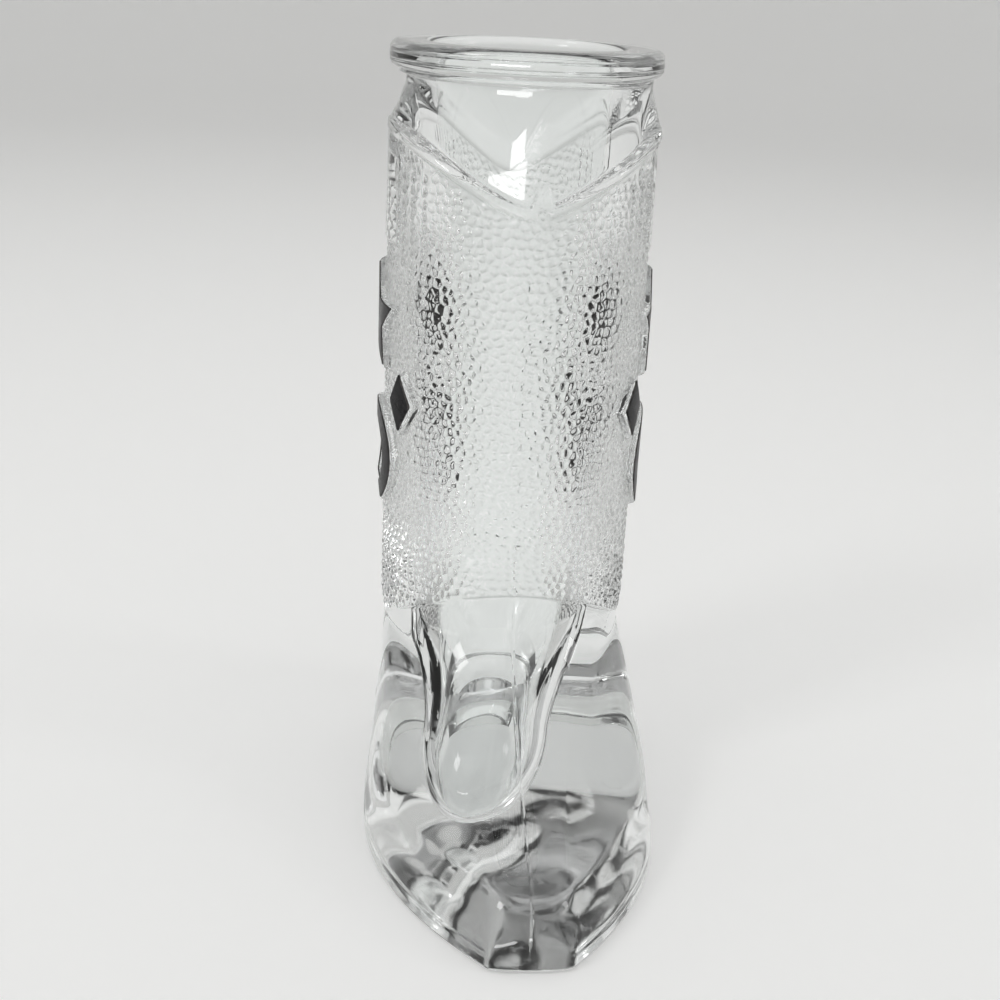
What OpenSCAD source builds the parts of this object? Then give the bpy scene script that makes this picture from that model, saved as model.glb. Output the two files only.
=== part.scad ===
// Western boot shot glass: one pressed glass boot with black enamel on its raised side ornaments.
// Millimetres, +Z up, toe towards -Y, origin under the middle of the plan box on the table.

/* [Lip and neck] */
// Overall height, from the table to the top of the lip
height = 102; // [92:1:115]
// Outer diameter of the rolled lip
lip_d = 36; // [33:0.5:40]
// Height of the rolled lip
lip_h = 3.5; // [2.5:0.1:5]
// Edge radius of the rolled lip
lip_round = 1.2; // [0.6:0.1:1.6]
// Diameter of the slim bead under the lip
under_bead_d = 33.8; // [32.8:0.1:35]
// Height of the slim bead under the lip
under_bead_h = 1.1; // [0.8:0.1:1.6]
// Diameter of the plain neck under the beads
neck_d = 32.4; // [30:0.1:33]
// Diameter of the neck where it goes down inside the boot's collar
neck_foot_d = 34.4; // [33:0.1:35]

/* [Shaft] */
// Diameter of the shaft at the collar
shaft_top_d = 35.6; // [35:0.1:38]
// Diameter of the shaft at the ankle
shaft_bottom_d = 34.8; // [34:0.1:37]
// Distance of the collar's peaks, at the sides of the shaft, below the top of the lip
collar_low = 10; // [8.5:0.5:14]
// Depth of the collar's dip, at the front and back, below its peaks
collar_dip = 9; // [5:0.5:12]
// Width of the piping along the collar
piping_w = 1.5; // [1:0.1:2.5]
// Height of the piping above the shaft
piping_proud = 0.4; // [0.2:0.05:0.8]
// Height of the shaft's lower edge at the front, over the tongue
ankle_front_z = 31; // [27:0.5:34]
// Height of the shaft's lower edge at the sides
ankle_side_z = 22.5; // [20:0.5:26]
// Height of the shaft's lower edge at the back, over the counter
ankle_back_z = 27.5; // [24:0.5:31]

/* [Pull straps] */
// Width of each pull strap
strap_w = 14; // [10:0.5:15]
// Height of the lower end of each pull strap
strap_low_z = 76; // [75:0.5:80]
// Height of the pull strap above the shaft
strap_proud = 0.3; // [0.2:0.05:0.6]

/* [Foot] */
// Reach of the sole from the shaft's axis to the toe
toe_reach = 57.5; // [52:0.5:63]
// Reach of the sole from the shaft's axis to the back
heel_reach = 19; // [18:0.25:21]
// Width of the sole at the ball of the foot
ball_w = 39.3; // [38:0.1:42]
// Distance of the ball of the foot in front of the shaft's axis
ball_y = 21.5; // [17:0.5:26]
// Width of the sole at the heel
heel_w = 36; // [35:0.5:39]
// Width of the snipped toe
tip_w = 9.4; // [6:0.2:13]
// Height of the toe box
toe_h = 8.4; // [7:0.2:10]
// Height of the instep's bend, in front of the ankle
instep_z = 16; // [13:0.5:19]
// Clearance of the foot's ankle inside the shaft's edge
ankle_step = 0.35; // [0.2:0.05:0.6]

/* [Sole and heel] */
// Thickness of the sole
sole_t = 2.2; // [1.6:0.1:3]
// Width of the welt round the upper
welt = 0.5; // [0.3:0.1:1.2]
// Height of the heel block
heel_h = 6.4; // [5.5:0.1:8]
// Distance of the heel's front face behind the shaft's axis
breast_y = 1.5; // [-1:0.25:4]
// How far the heel draws in from its seat to the table
heel_taper = 1.4; // [0.5:0.1:2.2]
// Distance in front of the shaft's axis where the sole leaves the table
shank_y = 26; // [22:0.5:30]

/* [Well] */
// Diameter of the well at the mouth, inside the lip
mouth_d = 25; // [22:0.5:26]
// Diameter of the well at the neck
well_top_d = 23.4; // [20:0.2:24.5]
// Diameter of the well at the ankle, where it turns into the foot
well_ankle_d = 17.6; // [15:0.2:20]
// Height where the well starts to turn into the foot
well_turn_z = 34; // [31:0.5:38]
// Reach of the hollow in the foot, from the shaft's axis to its tip
hollow_reach = 38; // [33:0.5:40]
// Width of the hollow in the foot, at its bend
hollow_w = 18.5; // [15:0.5:20]
// Width of the hollow behind its round tip
hollow_tip_w = 15.5; // [13:0.5:18]
// Height of the hollow behind its round tip
hollow_h = 11; // [9:0.25:12]
// Height of the hollow's middle behind its round tip
hollow_z = 11.5; // [10.5:0.25:12.5]
// Length of the hollow's round tip
hollow_round = 16; // [11:0.5:17]
// Sideways drift of the hollow, as it was blown, where its round tip starts
hollow_drift = 3.4; // [0:0.2:4]

/* [Ornaments] */
// Height of the raised ornaments above the shaft
pad_proud = 0.9; // [0.6:0.05:1.2]
// Thickness of the enamel
enamel_t = 0.15; // [0.1:0.01:0.3]
// Bare glass left round each enamel face
enamel_inset = 0.2; // [0.1:0.05:0.4]
// Radius of the star
star_r = 8; // [6:0.25:9]
// Height of the star's centre
star_z = 65.5; // [64:0.25:67]
// Outer radius of the horseshoe
shoe_r = 7.6; // [6.5:0.1:8]
// Width of the horseshoe's bar
shoe_bar = 3; // [2.4:0.1:3.6]
// Height of the horseshoe's centre
shoe_z = 46.5; // [45.5:0.25:47.5]
// Half width of the lozenges
lozenge_w = 2.3; // [1.6:0.1:2.6]
// Half height of the lozenges
lozenge_h = 4.4; // [3:0.1:5]
// Distance of the outer lozenges from the middle of the side
lozenge_y = 9.4; // [9:0.1:10]
// Height of the outer lozenges
lozenge_z = 55.6; // [55:0.1:56.2]

/* [Hidden] */

$fn = 96;

// Shaft axis: the origin is under the middle of the plan box, and the toe reaches further than the heel
axis_y = (toe_reach - heel_reach) / 2;
// Depth of the joints between solids of the one glass piece
lap = 0.3;
// Depth to which the neck and the foot run inside the shaft
sink = 3;
// Room past the object for cutting shapes
beyond = 20;

// Points round each foot section and rings along the toe and the vamp
section_points = 72;
toe_rings = 7;
vamp_rings = 20;
// Points round each section of the hollow, and rings along it and round its tip
hollow_points = 40;
hollow_rings = 14;
tip_rings = 6;
// Steps along the side-view curves
curve_steps = 20;
// Steps round the small arcs of the revolved outlines
arc_steps = 8;

// Angles of a foot section up to the snipped toe's corner, and of the round on that corner
tip_turn = 14;
sole_corner = 4;
upper_corner = 13.5;
// Power of the taper from the ball to the snipped toe
toe_power = 2.2;
// Angles from the toe between which the upper turns from the vamp's curve to a full flank, and its bulge
flank_from = 40;
flank_to = 80;
flank_power = 2;
// Share by which the toe box draws in towards its top, the share of the way from the ball to the toe where it
// does so in full, and the power of its curve
toe_draw = 0.2;
toe_draw_at = 0.6;
toe_draw_power = 1.2;
// Power of the curve of the shaft's lower edge, from the sides to the front and back
ankle_power = 1.4;
// Length and rise of the vamp's straight start behind the toe box
vamp_start = 7.5;
vamp_rise = 2.7;
// Depth of the toe box's rounded front, and the share of its height that rises straight
toe_round = 3.4;
toe_straight = 0.6;
// Shares of the hollow's drop that are done before it bends forward and before it levels out
hollow_bend = 0.5;
hollow_level = 0.85;
// Radius in the bottom of the collar's dip
dip_round = 4;
// Corner radius of a pull strap's lower end
strap_round = 2.5;
// Edge radius inside the mouth
mouth_round = 1.2;
// Arms of the star, and its inner radius over its outer radius
star_arms = 5;
star_waist = 0.46;
// Half angle of the horseshoe's open end
shoe_gap = 32;

ankle_r = shaft_bottom_d / 2 - ankle_step;
upper_toe = toe_reach - welt;
neck_top_z = height - lip_h - under_bead_h;
collar_peak_z = height - collar_low;
collar_dip_z = collar_peak_z - collar_dip;
// Half width of the outlines that cut the shaft, past its sides
cut_half_w = shaft_top_d / 2 + beyond / 4;
// The hollow starts inside the well, a little slimmer than it
throat_d = well_ankle_d - lap;
// Half angle of the tip of a star's arm
star_tip = atan2(star_waist * sin(180 / star_arms), 1 - star_waist * cos(180 / star_arms));

function lerp(a, b, t) = a + (b - a) * t;
function ease(t) = t <= 0 ? 0 : t >= 1 ? 1 : t * t * (3 - 2 * t);
function share(v, low, high) = min(max((v - low) / (high - low), 0), 1);
function bezier(p, t) =
    pow(1 - t, 3) * p[0] + 3 * t * pow(1 - t, 2) * p[1] + 3 * t * t * (1 - t) * p[2] + pow(t, 3) * p[3];
function bezier_way(p, t) =
    let (d = pow(1 - t, 2) * (p[1] - p[0]) + 2 * t * (1 - t) * (p[2] - p[1]) + t * t * (p[3] - p[2]))
    d / norm(d);
function arc(centre, r, from, to, steps = arc_steps) =
    [for (i = [0 : steps]) let (a = lerp(from, to, i / steps)) centre + r * [cos(a), sin(a)]];
function reversed(points) = [for (i = [len(points) - 1 : -1 : 0]) points[i]];

// Radius of the shaft at a height
function shaft_r(z) =
    lerp(shaft_bottom_d, shaft_top_d, (z - ankle_side_z) / (collar_peak_z - ankle_side_z)) / 2;

// Height of the collar at a distance from the middle: a V with a round bottom
function collar_rise(x) = norm([x, dip_round]) - dip_round;
function collar_z(x) = collar_dip_z + collar_dip * collar_rise(x) / collar_rise(shaft_top_d / 2);

// Height of the shaft's lower edge at a distance in front of (-) or behind (+) the axis
function ankle_z(y) =
    lerp(ankle_side_z, y < 0 ? ankle_front_z : ankle_back_z, pow(abs(2 * y / shaft_bottom_d), ankle_power));

// Height of the sole's underside: flat to the shank, then up to the heel's seat
function sole_z(y) = heel_h * ease((y + shank_y) / (breast_y + shank_y));

// Half width of the sole at a distance in front of (-) the axis
function sole_half_w(y) =
    y < -ball_y
    ? lerp(ball_w, tip_w, pow((-y - ball_y) / (toe_reach - ball_y), toe_power)) / 2
    : lerp(ball_w, heel_w, ease(1 + y / ball_y)) / 2;

// Point of the sole's outline, grown outwards, at an angle of 0 (toe) to 180 (back)
function sharp_outline(a, grow) =
    let (toe = toe_reach + grow, f = 90 * (a - tip_turn) / (90 - tip_turn))
    a < tip_turn ? [(tip_w / 2 + grow) * a / tip_turn, -toe]
    : a < 90 ? [sole_half_w(-toe_reach * cos(f)) + grow, -toe * cos(f)]
    : [(heel_w / 2 + grow) * sin(a), -(heel_reach + grow) * cos(a)];

// The same with the snipped toe's corner rounded over an angle on each side of it
function half_outline(a, grow, corner) =
    let (
        t = (a - tip_turn + corner) / (2 * corner),
        before = sharp_outline(tip_turn - corner, grow),
        at = sharp_outline(tip_turn, grow),
        after = sharp_outline(tip_turn + corner, grow))
    t < 0 || t > 1 ? sharp_outline(a, grow) : lerp(lerp(before, at, t), lerp(at, after, t), t);

function outline(grow, corner) = [
    for (i = [0 : section_points - 1])
        let (a = 360 * i / section_points, p = half_outline(min(a, 360 - a), grow, corner))
        [a > 180 ? -p.x : p.x, p.y]];

function circle_points(r) = [
    for (i = [0 : section_points - 1]) let (a = 360 * i / section_points) r * [sin(a), -cos(a)]];

function at_height(points, z) = [for (p = points) [p.x, p.y, z]];

// Middle line of the upper, from the welt over the toe box and up the vamp, in side view
toe_line = [
    [-upper_toe, sole_t],
    [-upper_toe, lerp(sole_t, toe_h, toe_straight)],
    [-upper_toe + toe_round / 2, toe_h - toe_round / 2 * vamp_rise / vamp_start],
    [-upper_toe + toe_round, toe_h]];
vamp_line = [
    toe_line[3],
    toe_line[3] + [vamp_start, vamp_rise],
    [-ankle_r, instep_z],
    [-ankle_r, ankle_front_z + sink]];
vamp_points = [for (i = [0 : vamp_rings]) bezier(vamp_line, i / vamp_rings)];

// Share by which the upper draws in sideways at a point, towards the top of the toe box
function toe_draw_in(y, z) =
    toe_draw * ease((-y - ball_y) / (toe_draw_at * (toe_reach - ball_y)))
    * pow(share(z, sole_t, lookup(y, vamp_points)), toe_draw_power);

// Section of the upper whose front lies at front_y: from the sole's outline (toe) to a circle (ankle)
function upper_ring(front_y, z) =
    let (
        foot = outline(-welt, upper_corner),
        ankle = circle_points(ankle_r),
        vamp = (upper_toe + front_y) / (upper_toe - ankle_r),
        flank = pow(share(z, sole_t, ankle_side_z), flank_power))
    [for (i = [0 : section_points - 1])
        let (
            a = 360 * i / section_points,
            turn = ease((min(a, 360 - a) - flank_from) / (flank_to - flank_from)),
            p = lerp(foot[i], ankle[i], lerp(vamp, flank, turn)))
        [p.x * (1 - toe_draw_in(p.y, z)), p.y, z]];

// Solid through a stack of rings with the same number of points
module skin(rings) {
    n = len(rings[0]);
    last = len(rings) - 1;
    points = [for (r = rings) for (p = r) p];
    bottom = [for (j = [0 : n - 1]) j];
    top = [for (j = [n - 1 : -1 : 0]) last * n + j];
    sides = [
        for (i = [0 : last - 1]) for (j = [0 : n - 1])
            let (a = i * n + j, b = i * n + (j + 1) % n)
            each [[a, a + n, b], [b, a + n, b + n]]];
    polyhedron(points, concat([bottom, top], sides));
}

// Straight solid through the object from side to side, with its outline drawn in side view
module through_x() {
    translate([-beyond - ball_w / 2, 0, 0])
        rotate([90, 0, 90])
            linear_extrude(ball_w + 2 * beyond)
                children();
}

// Straight solid from front to back, with its outline drawn in front view
module through_y() {
    translate([0, beyond + shaft_top_d / 2, 0])
        rotate([90, 0, 0])
            linear_extrude(shaft_top_d + 2 * beyond)
                children();
}

// Straight solid from the middle out to one side (-1 left, 1 right), outline drawn in side view
module to_side(side) {
    mirror([side < 0 ? 1 : 0, 0, 0])
        rotate([90, 0, 90])
            linear_extrude(beyond + shaft_top_d / 2)
                children();
}

// Cone of the shaft, grown outwards, between two heights
module shaft_cone(grow, low, high) {
    translate([0, 0, low])
        cylinder(h = high - low, r1 = shaft_r(low) + grow, r2 = shaft_r(high) + grow);
}

module lip_and_neck() {
    bead_r = under_bead_h / 2;
    rotate_extrude()
        polygon(concat(
            [[0, collar_dip_z - sink], [neck_foot_d / 2, collar_dip_z - sink]],
            [[neck_foot_d / 2, collar_dip_z]],
            [[neck_d / 2, neck_top_z - under_bead_h], [neck_d / 2, neck_top_z]],
            arc([under_bead_d / 2 - bead_r, neck_top_z + bead_r], bead_r, -90, 90),
            arc([lip_d / 2 - lip_round, height - lip_h + lip_round], lip_round, -90, 0),
            arc([lip_d / 2 - lip_round, height - lip_round], lip_round, 0, 90),
            [[0, height]]));
}

// Line along the collar, raised by dz, in front view
function collar_line(dz) = [
    for (i = [-curve_steps : curve_steps])
        let (x = i / curve_steps * cut_half_w) [x, collar_z(x) + dz]];

module shaft() {
    intersection() {
        shaft_cone(0, ankle_side_z - sink, collar_peak_z + sink);
        through_y()
            polygon(concat(collar_line(0), [[cut_half_w, 0], [-cut_half_w, 0]]));
        through_x()
            polygon(concat(
                [for (i = [-curve_steps : curve_steps])
                    let (y = i / curve_steps * cut_half_w) [y, ankle_z(y)]],
                [[cut_half_w, height], [-cut_half_w, height]]));
    }
}

module collar_piping() {
    intersection() {
        shaft_cone(piping_proud, collar_dip_z - sink, collar_peak_z + sink);
        through_y()
            polygon(concat(collar_line(-piping_w), reversed(collar_line(0))));
    }
}

// Outline of a pull strap in side view, with round lower corners
module strap_outline() {
    x = strap_w / 2 - strap_round;
    z = strap_low_z + strap_round;
    polygon(concat(
        arc([-x, z], strap_round, 180, 270),
        arc([x, z], strap_round, 270, 360),
        [[strap_w / 2, height], [-strap_w / 2, height]]));
}

module pull_straps() {
    intersection() {
        rotate_extrude()
            polygon([
                [0, strap_low_z],
                [shaft_r(strap_low_z) + strap_proud, strap_low_z],
                [shaft_r(collar_peak_z) + strap_proud / 2, collar_peak_z],
                [neck_d / 2, neck_top_z - under_bead_h],
                [0, neck_top_z - under_bead_h]]);
        through_x() strap_outline();
    }
}

module upper() {
    rings = concat(
        [upper_ring(-upper_toe, 0)],
        [for (i = [0 : toe_rings - 1]) let (p = bezier(toe_line, i / toe_rings)) upper_ring(p.x, p.y)],
        [for (p = vamp_points) upper_ring(p.x, p.y)]);
    difference() {
        skin(rings);
        through_x() polygon(below_sole(sole_t - lap));
    }
}

// Line of the sole's underside raised by dz, along the shank, in side view
function sole_line(dz) = [
    for (i = [0 : curve_steps])
        let (y = lerp(-shank_y, breast_y, i / curve_steps)) [y, sole_z(y) + dz]];

// Side-view outline of everything below the sole's underside raised by dz
function below_sole(dz) = concat(
    [[-toe_reach - beyond, -beyond], [-toe_reach - beyond, dz]],
    sole_line(dz),
    [[heel_reach + beyond, heel_h + dz], [heel_reach + beyond, -beyond]]);

module sole() {
    difference() {
        linear_extrude(heel_h + sole_t) polygon(outline(0, sole_corner));
        through_x() polygon(below_sole(0));
        translate([0, 0, sole_t])
            through_x() polygon(concat(
                [[-toe_reach - beyond, height], [-toe_reach - beyond, 0]],
                sole_line(0),
                [[heel_reach + beyond, heel_h], [heel_reach + beyond, height]]));
    }
}

module heel() {
    intersection() {
        skin([
            at_height(outline(-heel_taper, sole_corner), 0),
            at_height(outline(0, sole_corner), heel_h + lap)]);
        translate([-ball_w / 2, breast_y, 0])
            cube([ball_w, heel_reach, heel_h + lap]);
    }
}

// Middle line of the hollow in side view, from inside the well down and forward to its tip
hollow_line = [
    [0, well_turn_z + sink],
    [0, lerp(well_turn_z, hollow_z, hollow_bend)],
    [(hollow_round - hollow_reach) / 2, lerp(well_turn_z, hollow_z, hollow_level)],
    [hollow_round - hollow_reach, hollow_z]];

// Section of the hollow at a share t of its middle line, moved on along it and shrunk towards the tip
function hollow_ring(t, on, shrink) =
    let (
        way = bezier_way(hollow_line, t),
        c = bezier(hollow_line, t) + on * way,
        w = lerp(lerp(throat_d, hollow_w, ease(2 * t)), hollow_tip_w, ease(2 * t - 1)) / 2 * shrink,
        h = lerp(throat_d, hollow_h, t) / 2 * shrink,
        drift = hollow_drift * (t * t + on / hollow_reach))
    [for (i = [0 : hollow_points - 1])
        let (a = 360 * i / hollow_points)
        [w * cos(a) - drift, c.x + h * sin(a) * way.y, c.y - h * sin(a) * way.x]];

module hollow() {
    last_turn = 80;
    skin(concat(
        [for (i = [0 : hollow_rings]) hollow_ring(i / hollow_rings, 0, 1)],
        [for (i = [1 : tip_rings])
            let (a = last_turn * i / tip_rings) hollow_ring(1, hollow_round * sin(a), cos(a))]));
}

module well() {
    rotate_extrude()
        polygon(concat(
            [[0, well_turn_z - lap], [well_ankle_d / 2, well_turn_z - lap], [well_top_d / 2, neck_top_z]],
            reversed(arc([mouth_d / 2 + mouth_round, height - mouth_round], mouth_round, 90, 180)),
            [[mouth_d / 2 + mouth_round, height + lap], [0, height + lap]]));
    hollow();
}

// Ornament outlines, in side view: across from the front (-) to the back (+), and up
module star(grow) {
    r = star_r + grow / sin(star_tip);
    translate([0, star_z])
        polygon([
            for (i = [0 : 2 * star_arms - 1])
                let (a = 90 + 180 * i / star_arms, reach = i % 2 == 0 ? r : r * star_waist)
                reach * [cos(a), sin(a)]]);
}

module horseshoe(grow) {
    outer = shoe_r + grow;
    inner = shoe_r - shoe_bar - grow;
    gap = shoe_gap - asin(grow / (shoe_r - shoe_bar / 2));
    translate([0, shoe_z])
        polygon(concat(
            arc([0, 0], outer, gap - 90, 270 - gap, 2 * curve_steps),
            reversed(arc([0, 0], inner, gap - 90, 270 - gap, 2 * curve_steps))));
}

module lozenge(end, grow) {
    size = 1 + grow * norm([lozenge_w, lozenge_h]) / (lozenge_w * lozenge_h);
    translate([end * lozenge_y, lozenge_z])
        polygon(size * [[lozenge_w, 0], [0, lozenge_h], [-lozenge_w, 0], [0, -lozenge_h]]);
}

module ornament_pads() {
    intersection() {
        shaft_cone(pad_proud, ankle_side_z, strap_low_z);
        through_x() {
            star(0);
            horseshoe(0);
            lozenge(-1, 0);
            lozenge(1, 0);
        }
    }
}

// Enamel on the face of one ornament, as a skin that follows the shaft
module enamel(side) {
    color("black")
        translate([0, axis_y, 0])
            intersection() {
                difference() {
                    shaft_cone(pad_proud + enamel_t, ankle_side_z, strap_low_z);
                    shaft_cone(pad_proud, ankle_side_z, strap_low_z);
                }
                to_side(side) children();
            }
}

module glass_boot() {
    color("azure", 0.4)
        translate([0, axis_y, 0])
            difference() {
                union() {
                    lip_and_neck();
                    shaft();
                    collar_piping();
                    pull_straps();
                    ornament_pads();
                    upper();
                    sole();
                    heel();
                }
                well();
            }
}

module left_star() { enamel(-1) star(-enamel_inset); }
module left_horseshoe() { enamel(-1) horseshoe(-enamel_inset); }
module left_front_lozenge() { enamel(-1) lozenge(-1, -enamel_inset); }
module left_back_lozenge() { enamel(-1) lozenge(1, -enamel_inset); }
module right_star() { enamel(1) star(-enamel_inset); }
module right_horseshoe() { enamel(1) horseshoe(-enamel_inset); }
module right_front_lozenge() { enamel(1) lozenge(-1, -enamel_inset); }
module right_back_lozenge() { enamel(1) lozenge(1, -enamel_inset); }

glass_boot();
left_star();
left_horseshoe();
left_front_lozenge();
left_back_lozenge();
right_star();
right_horseshoe();
right_front_lozenge();
right_back_lozenge();
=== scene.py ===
import math

import bmesh
import bpy
import numpy as np
from mathutils import Matrix, Vector


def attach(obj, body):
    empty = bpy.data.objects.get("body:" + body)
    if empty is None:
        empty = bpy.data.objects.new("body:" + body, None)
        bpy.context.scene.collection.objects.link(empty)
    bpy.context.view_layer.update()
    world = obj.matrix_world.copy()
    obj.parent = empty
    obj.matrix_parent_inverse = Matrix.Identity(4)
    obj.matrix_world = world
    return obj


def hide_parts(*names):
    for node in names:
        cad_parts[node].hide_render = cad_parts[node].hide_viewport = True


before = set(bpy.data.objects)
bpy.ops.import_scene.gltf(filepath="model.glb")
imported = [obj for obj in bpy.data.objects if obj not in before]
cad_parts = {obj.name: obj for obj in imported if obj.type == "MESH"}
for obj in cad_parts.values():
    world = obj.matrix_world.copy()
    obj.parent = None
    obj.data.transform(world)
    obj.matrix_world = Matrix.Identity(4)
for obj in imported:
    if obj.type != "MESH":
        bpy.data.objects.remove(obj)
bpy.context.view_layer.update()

scene = bpy.context.scene

# Sizes of the part are in millimetres about the shaft's axis, with the toe towards -Y and the table at z = 0
MM = 0.001
FAR = 1e9  # more than any distance on the part

# Lip, bead and neck
HEIGHT = 102.0
LIP_D = 36.0
LIP_H = 3.5
LIP_ROUND = 1.2
GROOVES = (1.25, 2.35)  # below the rim
GROOVE_DEPTH = 0.07
GROOVE_W = 0.16
BEAD_D = 33.4
BEAD_H = 0.8
NECK_D = 32.4
NECK_FOOT_D = 34.4
NECK_LEAN = 0.45
NECK_FLARE = (3.5, 10.5)  # distance along Y over which the flare at the sides fades
NECK_TOP = HEIGHT - LIP_H - BEAD_H
NECK_END = NECK_TOP - BEAD_H

# Shaft and its lower edge, which is higher at the front and the back
SHAFT_TOP_D = 35.6
SHAFT_BOTTOM_D = 34.8
ANKLE_FRONT = 31.0
ANKLE_SIDE = 22.5
ANKLE_BACK = 27.5
ANKLE_POWER = 1.4
ANKLE_INSET = 0.35
ANKLE_R = SHAFT_BOTTOM_D / 2 - ANKLE_INSET
EDGE_DRAW = 0.3  # how far the shaft draws in towards its lower edge
EDGE_DRAW_H = 3.5
EDGE_DRAW_FRONT = 0.2  # share of that at the front
EDGE_ROUND_H = 0.35
PEBBLE_H = 0.32
PEBBLE_SINK = 0.2
PEBBLES_FROM = (0.1, 0.7)  # distance above the lower edge over which the pebbles rise
PEBBLES_TO = (0.0, 0.9)  # distance below the piping over which they rise

# V-shaped collar with its piping, and the pull straps at the sides
COLLAR_PEAK = 92.0
COLLAR_DIP = 83.0
DIP_ROUND = 4.0
PIPING_W = 1.5
PIPING_PROUD = 0.4
PIPING_GAP_X = 1.1
PIPING_GAP = (0.5, 1.7)  # distance from the gap's middle over which the piping rises again
PIPING_FADE = (-4.0, 9.0)  # stretch along Y over which the piping gets lower
PIPING_BACK = 0.35  # share of the piping's height at the back
PIPING_LEFT = 0.35  # share of the piping's height over the left strap
PIPING_POWER = 0.8
COLLAR_FALL = (0.55, 3.2)  # height of the step to the neck, with full piping and with none
STRAP_HALF = 7.0
STRAP_LOW = 76.0
STRAP_PROUD = 0.3
STRAP_SIDE = (STRAP_HALF - 0.35, STRAP_HALF + 0.15)
STRAP_FOOT = (STRAP_LOW - 0.1, STRAP_LOW + 0.4)

# Stitches in columns beside the straps, as (distance from the strap's middle, lower end), and a braid
STITCH_COLUMNS = ((7.9, 73.5), (9.7, 71.0), (11.6, 69.0))
STITCH_TOP = 86.5
STITCH_PITCH = 1.6
STITCH_W = 0.4
STITCH_L = 0.66
STITCH_H = 0.34
SEWN_W = 0.7  # plain strip that the stitches lie in
SEWN_PLAIN = 0.9  # share of the pebbles that it takes away
BRAID_W = 2.3
BRAID_H = 0.24
BRAID_PITCH = 0.85
BRAID_SLANT = 2.1
BRAID_FROM = (2.0, 3.5)  # distance along -Y over which the braid rises
BRAID_TO = (10.5, 12.5)  # and over which it falls

# Mould seams: each fin's uneven height is a sum of waves, as (share, rate, phase)
FIN_WAVES = ((0.2, 5.3, 0.0), (0.18, 8.9, 1.3), (0.12, 14.7, 0.4))
SHAFT_SEAM_W = 0.15
SHAFT_SEAM_H = (0.05, 0.2)  # high on the shaft and at its foot
SHAFT_SEAM_FADE = (4.0, 12.0)  # distance above the lower edge over which the fin gets lower
FOOT_SEAM_W = 0.14
FOOT_SEAM_H = (0.13, 0.22)  # at the toe and at the instep
FOOT_SEAM_RISE = (22.0, 29.0)  # heights between which the fin gets higher
BACK_SEAM = 0.4  # share of the fin's height at the back
SPILL_W = 1.3
SPILL_H = 0.3
SPILL_FROM = (0.0, 0.5)  # distance above the lower edge over which the spill rises
SPILL_TO = (1.0, 4.5)  # and over which it falls
SPILL_RATE = (5.1, 4.3)  # of its unevenness along X and Z
SPILL_PHASE = 0.8

# Foot: sole, heel and upper
TOE = 57.5
HEEL_REACH = 19.0
BALL_W = 39.26
BALL_Y = 21.5
HEEL_W = 36.0
TIP_W = 9.4
TIP_TURN = 14.0  # degrees from the toe at which the snipped tip ends
TOE_POWER = 2.2
SOLE_T = 2.2
SOLE_CORNER = 9.0
SOLE_ROUND = 0.55
SHANK_Y = 26.0
HEEL_H = 6.4
HEEL_TAPER = 1.4
BREAST_Y = 1.5
BREAST_DRAFT = 0.42
MIDDLE_LINE = (-50.0, 8.0)  # reach along Y of the underside's middle line
WELT = 0.5
WELT_BLEND = 1.0  # depth below the sole's top at which the welt starts to turn into the upper
WELT_JOIN = 0.085  # share of the upper at which it has done so
WELT_PULL = 0.4
WELT_TOE_GAP = 0.1
CREASE = 0.12
CREASE_W = 0.35
CREASE_FROM = (14.0, 32.0)  # degrees from the toe over which the crease deepens
UPPER_TOE = TOE - WELT
UPPER_CORNER = 13.5
TOE_H = 8.4
TOE_ROUND = 3.4
TOE_STRAIGHT = 0.6
VAMP_START = 7.5
VAMP_RISE = 2.7
INSTEP = 16.0
SINK = 3.0
FLANK_FROM = 40.0
FLANK_TO = 80.0
FLANK_POWER = 2.0
TOE_DRAW = 0.2
TOE_DRAW_AT = 0.6
TOE_DRAW_POWER = 1.2
TUCK = (0.03, 0.26)  # how far the upper draws in below the ledge, at the back and at the front
TUCK_H = 2.6
LEDGE_CORNER = 0.85  # share of the ledge at which it turns up

# Well, and the hollow that turns out of it into the foot
MOUTH_D = 25.0
MOUTH_ROUND = 1.2
WELL_TOP_D = 23.4
WELL_ANKLE_D = 17.6
WELL_TURN = 34.0
WELL_START = NECK_TOP - 1.0
HOLLOW_REACH = 38.0
HOLLOW_W = 18.5
HOLLOW_TIP_W = 15.5
HOLLOW_H = 11.0
HOLLOW_Z = 12.3
HOLLOW_ROUND = 15.0
HOLLOW_DRIFT = 3.4
HOLLOW_BEND = 0.5
HOLLOW_LEVEL = 0.71

# Raised ornaments on both sides, and the enamel on them
PAD_PROUD = 0.9
PAD_EDGE = (-0.12, 0.16)  # distance from the outline over which an ornament falls
PAD_CLEAR = (0.05, 0.5)  # and over which the relief about it rises
STAR_R = 8.0
STAR_Z = 65.5
STAR_ARMS = 5
STAR_WAIST = 0.46
SHOE_R = 7.6
SHOE_BAR = 3.0
SHOE_Z = 46.5
SHOE_GAP = 32.0
LOZENGE_W = 2.3
LOZENGE_H = 4.4
LOZENGE_Y = 9.4
LOZENGE_Z = 55.6
ENAMEL_T = 0.15
ENAMEL_INSET = 0.2
ENAMEL_PITCH = 0.11
ENAMEL_STRIP = 0.3
# Soft edge of an enamel face, as (inset, height over the ornament, wear)
ENAMEL_EDGE = (
    (0.0, -0.06, 1.0),
    (0.0, 0.07, 1.0),
    (0.02, 0.11, 1.0),
    (0.06, 0.14, 0.9),
    (0.12, ENAMEL_T, 0.6),
    (0.3, ENAMEL_T, 0.0))

# The frame's origin is under the middle of the foot's length
AXIS_Y = (TOE - HEEL_REACH) / 2


def lerp(a, b, t):
    return a + (b - a) * t


def ease(t):
    t = np.clip(t, 0, 1)
    return t * t * (3 - 2 * t)


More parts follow.
